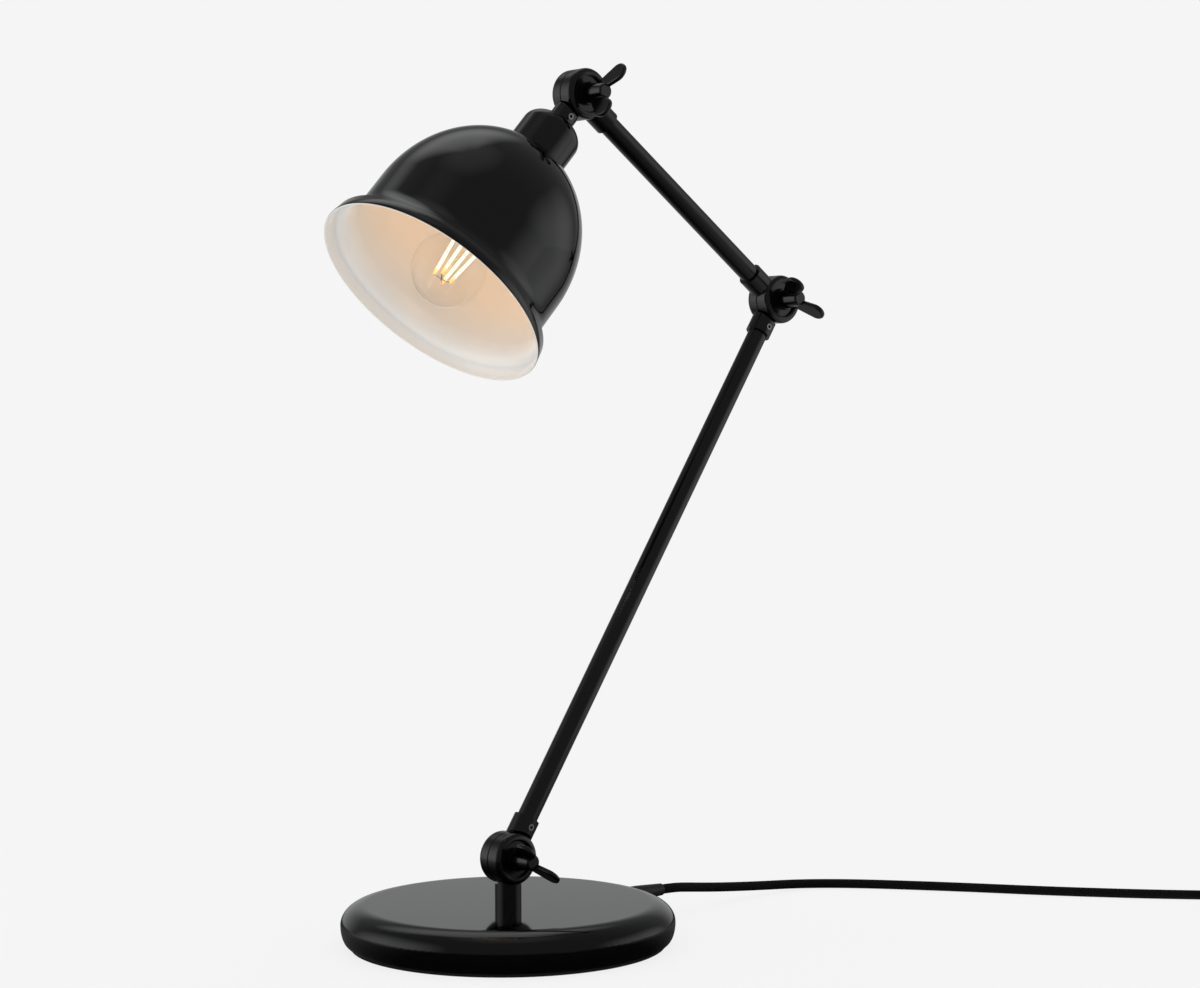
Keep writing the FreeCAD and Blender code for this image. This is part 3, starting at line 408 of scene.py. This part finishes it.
def spun(name, line, origin, axis, split, count):
    """Mesh of a profile turned about an axis; faces from the split on take the second finish."""
    side = Vector((0, 1, 0))
    up = axis.cross(side)
    made = bmesh.new()
    rows = []
    for k in range(count):
        a = 2 * math.pi * k / count
        out = side * math.cos(a) + up * math.sin(a)
        rows.append([made.verts.new(origin + (out * r + axis * s) * mm) for r, s in line])
    for k in range(count):
        here, after = rows[k], rows[(k + 1) % count]
        for i in range(len(line) - 1):
            face = made.faces.new((here[i], here[i + 1], after[i + 1], after[i]))
            face.smooth = True
            face.material_index = int(i >= split)
    bmesh.ops.remove_doubles(made, verts=made.verts, dist=0.001 * mm)
    bmesh.ops.recalc_face_normals(made, faces=made.faces)
    mesh = bpy.data.meshes.new(name)
    made.to_mesh(mesh)
    made.free()
    shape = bpy.data.objects.new(name, mesh)
    scene.collection.objects.link(shape)
    return shape


# Vitreous enamel, fired: milk white, glossy, with a soft ripple of about 8 mm.
enamel, tree = finish("white_vitreous_enamel")
spot = add(tree, "TexCoord").outputs["Object"]
ripple = add(tree, "TexNoise", {"Vector": spot, "Scale": 1 / (9 * mm), "Detail": 1})
cloud = add(tree, "TexNoise", {"Vector": spot, "Scale": 1 / (30 * mm), "Detail": 2})
tone = add(tree, "Mix", {"Factor": cloud.outputs[0], 6: paint("#eceae5"), 7: paint("#f0eeea")},
           data_type="RGBA")
dents = add(tree, "Bump", {"Height": ripple.outputs[0], "Distance": 0.05 * mm, "Strength": 0.4})
close(tree, add(tree, "BsdfPrincipled", {"Base Color": tone.outputs[2], "Roughness": 0.16,
                                         "IOR": 1.52, "Normal": dents.outputs[0]}))

outside = bell_line(0)
inside = bell_line(sheet)
lip = arc((rim_radius - sheet / 2, rim_end - sheet / 2), sheet / 2, sheet / 2, 0, 180, 8)
line = outside[:-1] + lip + inside[:-1][::-1]
line.append(line[0])
bell = spun("bell_shade", line, head_pivot, shade_axis, len(outside) + 1, turns)
bell.data.materials.append(lacquer)
bell.data.materials.append(enamel)
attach(bell, "head")
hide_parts("shade")


# --- Lampholder ----------------------------------------------------------------------------------
# Two black phenolic mouldings screwed together, with a glazed ceramic core and brass contacts.
phenolic, tree = finish("moulded_black_phenolic")
spot = add(tree, "TexCoord").outputs["Object"]
drift = add(tree, "TexNoise", {"Vector": spot, "Scale": 1 / (2 * mm), "Detail": 3})
gloss = add(tree, "MapRange", {"Value": drift.outputs[0], "To Min": 0.22, "To Max": 0.34})
close(tree, add(tree, "BsdfPrincipled", {"Base Color": paint("#17171a"), "IOR": 1.55,
                                         "Roughness": gloss.outputs[0]}))
wear(["holder_cap", "holder_body"], phenolic)

ceramic, tree = finish("glazed_steatite")
spot = add(tree, "TexCoord").outputs["Object"]
drift = add(tree, "TexNoise", {"Vector": spot, "Scale": 1 / (4 * mm)})
tone = add(tree, "Mix", {"Factor": drift.outputs[0], 6: paint("#e6e1d6"), 7: paint("#f0ece3")},
           data_type="RGBA")
close(tree, add(tree, "BsdfPrincipled", {"Base Color": tone.outputs[2], "Roughness": 0.2}))
wear(["holder_core"], ceramic)

brass, tree = finish("drawn_brass")
spot = add(tree, "TexCoord").outputs["Object"]
drift = add(tree, "TexNoise", {"Vector": spot, "Scale": 1 / (2 * mm), "Detail": 2})
gloss = add(tree, "MapRange", {"Value": drift.outputs[0], "To Min": 0.18, "To Max": 0.3})
close(tree, add(tree, "BsdfPrincipled", {"Base Color": paint("#d3b06a"), "Metallic": 1.0,
                                         "Roughness": gloss.outputs[0]}))
wear(["holder_screw_shell", "holder_contact", "plug_pins"], brass)


# --- Bulb ----------------------------------------------------------------------------------------
# Clear globe bulb with four glowing filament sticks on a glass stem, and a nickel-plated cap.
# The glass is blown soda-lime and thin: most light goes straight through it, and its outer face
# is a faint mirror that grows stronger edge on. The sticks are coated ceramic strips.
nickel, tree = finish("nickel_plated_brass")
spot = add(tree, "TexCoord").outputs["Object"]
drift = add(tree, "TexNoise", {"Vector": spot, "Scale": 1 / (2 * mm), "Detail": 2})
gloss = add(tree, "MapRange", {"Value": drift.outputs[0], "To Min": 0.14, "To Max": 0.26})
close(tree, add(tree, "BsdfPrincipled", {"Base Color": paint("#d8d4cb"), "Metallic": 1.0,
                                         "Roughness": gloss.outputs[0]}))
wear(["bulb_cap", "bulb_filament_wires"], nickel)

glass, tree = finish("blown_clear_glass")
spot = add(tree, "TexCoord").outputs["Object"]
waves = add(tree, "TexNoise", {"Vector": spot, "Scale": 1 / (12 * mm), "Detail": 1})
dents = add(tree, "Bump", {"Height": waves.outputs[0], "Distance": 0.03 * mm, "Strength": 0.3})
edge_on = add(tree, "Fresnel", {"IOR": 1.35, "Normal": dents.outputs[0]}).outputs[0]
inner = add(tree, "NewGeometry").outputs["Backfacing"]
outer = add(tree, "Math", {0: 1.0, 1: inner}, operation="SUBTRACT", use_clamp=True)
mirror = add(tree, "Math", {0: edge_on, 1: outer.outputs[0]}, operation="MULTIPLY")
close(tree, add(tree, "BsdfPrincipled", {"Base Color": paint("#f4f4f2"), "Metallic": 1.0,
                                         "Roughness": 0.02, "Alpha": mirror.outputs[0],
                                         "Normal": dents.outputs[0]}))
wear(["bulb_glass", "bulb_stem"], glass)
for name in ("bulb_glass", "bulb_stem"):
    nodes[name].visible_shadow = False

# Each stick glows pale along its length and dim gold at its foot.
foot_start, foot_full = 4.5 * mm, 2.5 * mm     # from the far end
stick_level, foot_level = 2.2, 0.9
sticks = nodes["bulb_filaments"]
home = sticks.matrix_world.inverted()
start, run = home @ head_pivot, home.to_3x3() @ shade_axis
reach = max((v.co - start).dot(run) for v in sticks.data.vertices)
filament, tree = finish("glowing_phosphor")
spot = add(tree, "TexCoord").outputs["Object"]
off = add(tree, "VectorMath", {0: spot, 1: start}, operation="SUBTRACT").outputs["Vector"]
along = add(tree, "VectorMath", {0: off, 1: run}, operation="DOT_PRODUCT").outputs["Value"]
foot = add(tree, "MapRange", {"Value": along, "From Min": reach - foot_start,
                              "From Max": reach - foot_full}).outputs[0]
tone = add(tree, "Mix", {"Factor": foot, 6: paint("#ffe3b0"), 7: paint("#f2a52c")},
           data_type="RGBA")
power = add(tree, "MapRange", {"Value": foot, "To Min": stick_level, "To Max": foot_level})
close(tree, add(tree, "BsdfPrincipled", {"Base Color": paint("#f3d9a0"), "Roughness": 0.6,
                                         "Emission Color": tone.outputs[2],
                                         "Emission Strength": power.outputs[0]}))
wear(["bulb_filaments"], filament)

# Most of the sticks' light that shows falls back into the dome; a little of it reaches the hem.
def glow(name, kind, along, power):
    """Warm lamp among the filament sticks, in mm along the shade's axis and in watts."""
    lamp = bpy.data.lights.new(name, kind)
    lamp.color = paint("#ffb440")[:3]
    lamp.energy = power
    lamp.shadow_soft_size = 7 * mm
    made = bpy.data.objects.new(name, lamp)
    made.location = head_pivot + shade_axis * along * mm
    made.visible_glossy = False
    scene.collection.objects.link(made)
    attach(made, "head")
    return made


glow("bulb_light", "POINT", 143, 0.006)
inward_glow = glow("bulb_light_inward", "SPOT", 150, 0.08)
inward_glow.data.spot_size, inward_glow.data.spot_blend = math.radians(180), 0.6
inward_glow.rotation_euler = (-shade_axis).to_track_quat("-Z", "Y").to_euler()


# --- Strain relief and plug ----------------------------------------------------------------------
# Black PVC bush moulded round the cord where it leaves the base, and the plug, moulded likewise.
pvc, tree = finish("moulded_black_pvc")
spot = add(tree, "TexCoord").outputs["Object"]
drift = add(tree, "TexNoise", {"Vector": spot, "Scale": 1 / (0.7 * mm), "Detail": 3})
dents = add(tree, "Bump", {"Height": drift.outputs[0], "Distance": 0.04 * mm, "Strength": 0.5})
close(tree, add(tree, "BsdfPrincipled", {"Base Color": paint("#141415"), "Roughness": 0.48,
                                         "IOR": 1.52, "Normal": dents.outputs[0]}))
wear(["cord_strain_relief", "plug_body"], pvc)


# --- Mains cord ----------------------------------------------------------------------------------
# Round cord, 6 mm, braided in black rayon over two cores. It leaves the bush straight, sinks to
# the table and runs off to the right, where the rest is wound to a coil beside its plug.
cord_width = 6.0
route = [
    (122, 0, 18), (133, 0, 18), (151, 5.0, 15.2), (172, 9.5, 12.0), (197, 13.3, 8.8),
    (225, 15.6, 5.9), (252, 14.0, 4.0), (273, 4.5, 3.1), (290, -12.5, 3.1), (307, -33.5, 3.1),
    (324, -55.6, 3.1), (341.5, -80.0, 3.1), (357, -102.5, 3.1), (377, -129.0, 3.1),
    (400, -157.0, 3.1), (424, -183.0, 3.1), (440, -199.0, 3.1),
]
braid, tree = finish("braided_black_rayon")
weave = add(tree, "UVMap", uv_map="braid").outputs["UV"]
split = add(tree, "SeparateXYZ", {0: weave}).outputs
one = add(tree, "Math", {0: split["X"], 1: split["Y"]}, operation="ADD").outputs[0]
two = add(tree, "Math", {0: split["X"], 1: split["Y"]}, operation="SUBTRACT").outputs[0]
wave_one = add(tree, "Math", {0: one}, operation="SINE").outputs[0]
wave_two = add(tree, "Math", {0: two}, operation="SINE").outputs[0]
over = add(tree, "Math", {0: wave_one, 1: wave_two}, operation="MAXIMUM").outputs[0]
tone = add(tree, "MapRange", {"Value": over, "From Min": -0.6, "From Max": 1.0})
shade_of = add(tree, "Mix", {"Factor": tone.outputs[0], 6: paint("#020202"), 7: paint("#080808")},
               data_type="RGBA")
dents = add(tree, "Bump", {"Height": over, "Distance": 0.25 * mm, "Strength": 0.9})
close(tree, add(tree, "BsdfPrincipled", {"Base Color": shade_of.outputs[2], "Roughness": 0.75,
                                         "Specular IOR Level": 0.2,
                                         "Normal": dents.outputs[0]}))
wear(["base_lead"], braid)

coil_turns, points_a_turn = 6.25, 16
coil_shrink = 0.981           # how far inside its control points the spline's turns run
outer_ring, entry_ring, exit_ring = 45.3, 45.0, 39.3
table_height, ring_pitch, layer_height = 3.1, 6.15, 6.1
lead_in, lead_out = 34.0, 60.0
plug_height = 6.85

entry, before = Vector(route[-1]), Vector(route[-2])
onward = (entry - before).normalized()
inward = Vector((onward.y, -onward.x, 0))
ring_middle = entry + onward * lead_in + inward * entry_ring


def step(turned, start, width=75.0):
    """0 before an angle, 1 after it, smooth between."""
    share = min(max((turned - start) / width, 0), 1)
    return share * share * (3 - 2 * share)


def coil_point(turned):
    """Four rings inward on the table, then three outward on top of them."""
    ring = outer_ring - ring_pitch * sum(step(turned, 280 + 360 * k) for k in range(3))
    ring += ring_pitch * sum(step(turned, 100 + 360 * k) for k in (4, 5))
    height = table_height + layer_height * step(turned, 190 + 360 * 3)
    a = math.radians(turned)
    out = -inward * math.cos(a) + onward * math.sin(a)
    at = ring_middle + out * ring / coil_shrink
    return (at.x, at.y, height)


coil = [coil_point(360 * (k + 0.5) / points_a_turn)
        for k in range(int(coil_turns * points_a_turn))]
last = ring_middle + onward * exit_ring
tail = [last + inward * along + Vector((0, 0, high - last.z))
        for along, high in ((6, 9.2), (20, 9.4), (34, 9.2), (48, 7.4), (58, plug_height),
                            (lead_out + 3, plug_height))]
line = bpy.data.curves.new("cord_line", "CURVE")
line.dimensions = "3D"
spline = line.splines.new("NURBS")
everything = route + coil + [tuple(p) for p in tail]
spline.points.add(len(everything) - 1)
for point, at in zip(spline.points, everything):
    point.co = (*(c * mm for c in at), 1)
spline.order_u = 3
spline.use_endpoint_u = True
line.resolution_u = 6
guide = bpy.data.objects.new("cord_line", line)
scene.collection.objects.link(guide)
bpy.context.view_layer.update()
traced = bpy.data.meshes.new_from_object(guide.evaluated_get(
    bpy.context.evaluated_depsgraph_get()))
path = [v.co.copy() for v in traced.vertices]
bpy.data.meshes.remove(traced)
bpy.data.objects.remove(guide)


def swept(name, path, radius, sides, strands):
    """Round tube along a path, with a braid map that counts strands round and along it."""
    made = bmesh.new()
    side = Vector((0, 0, 1))
    far, rows = 0.0, []
    for k, at in enumerate(path):
        along = (path[min(k + 1, len(path) - 1)] - path[max(k - 1, 0)]).normalized()
        side = (side - along * side.dot(along)).normalized()
        other = along.cross(side)
        far += (at - path[k - 1]).length if k else 0
        rows.append((far, [made.verts.new(at + (side * math.cos(a) + other * math.sin(a)) * radius)
                           for a in (2 * math.pi * j / sides for j in range(sides))]))
    braid_map = made.loops.layers.uv.new("braid")
    for (low, here), (high, after) in zip(rows, rows[1:]):
        for j in range(sides):
            face = made.faces.new((here[j], here[(j + 1) % sides], after[(j + 1) % sides],
                                   after[j]))
            face.smooth = True
            for loop, turn, run in zip(face.loops, (j, j + 1, j + 1, j), (low, low, high, high)):
                loop[braid_map].uv = (strands * 2 * math.pi * turn / sides,
                                      strands * run / radius)
    made.faces.new(rows[0][1][::-1])
    made.faces.new(rows[-1][1])
    mesh = bpy.data.meshes.new(name)
    made.to_mesh(mesh)
    made.free()
    shape = bpy.data.objects.new(name, mesh)
    scene.collection.objects.link(shape)
    return shape


cord = swept("mains_cord", path, cord_width / 2 * mm, 20, 8)
cord.data.materials.append(braid)
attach(cord, "base")
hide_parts("cord_tube", "cord_coil")
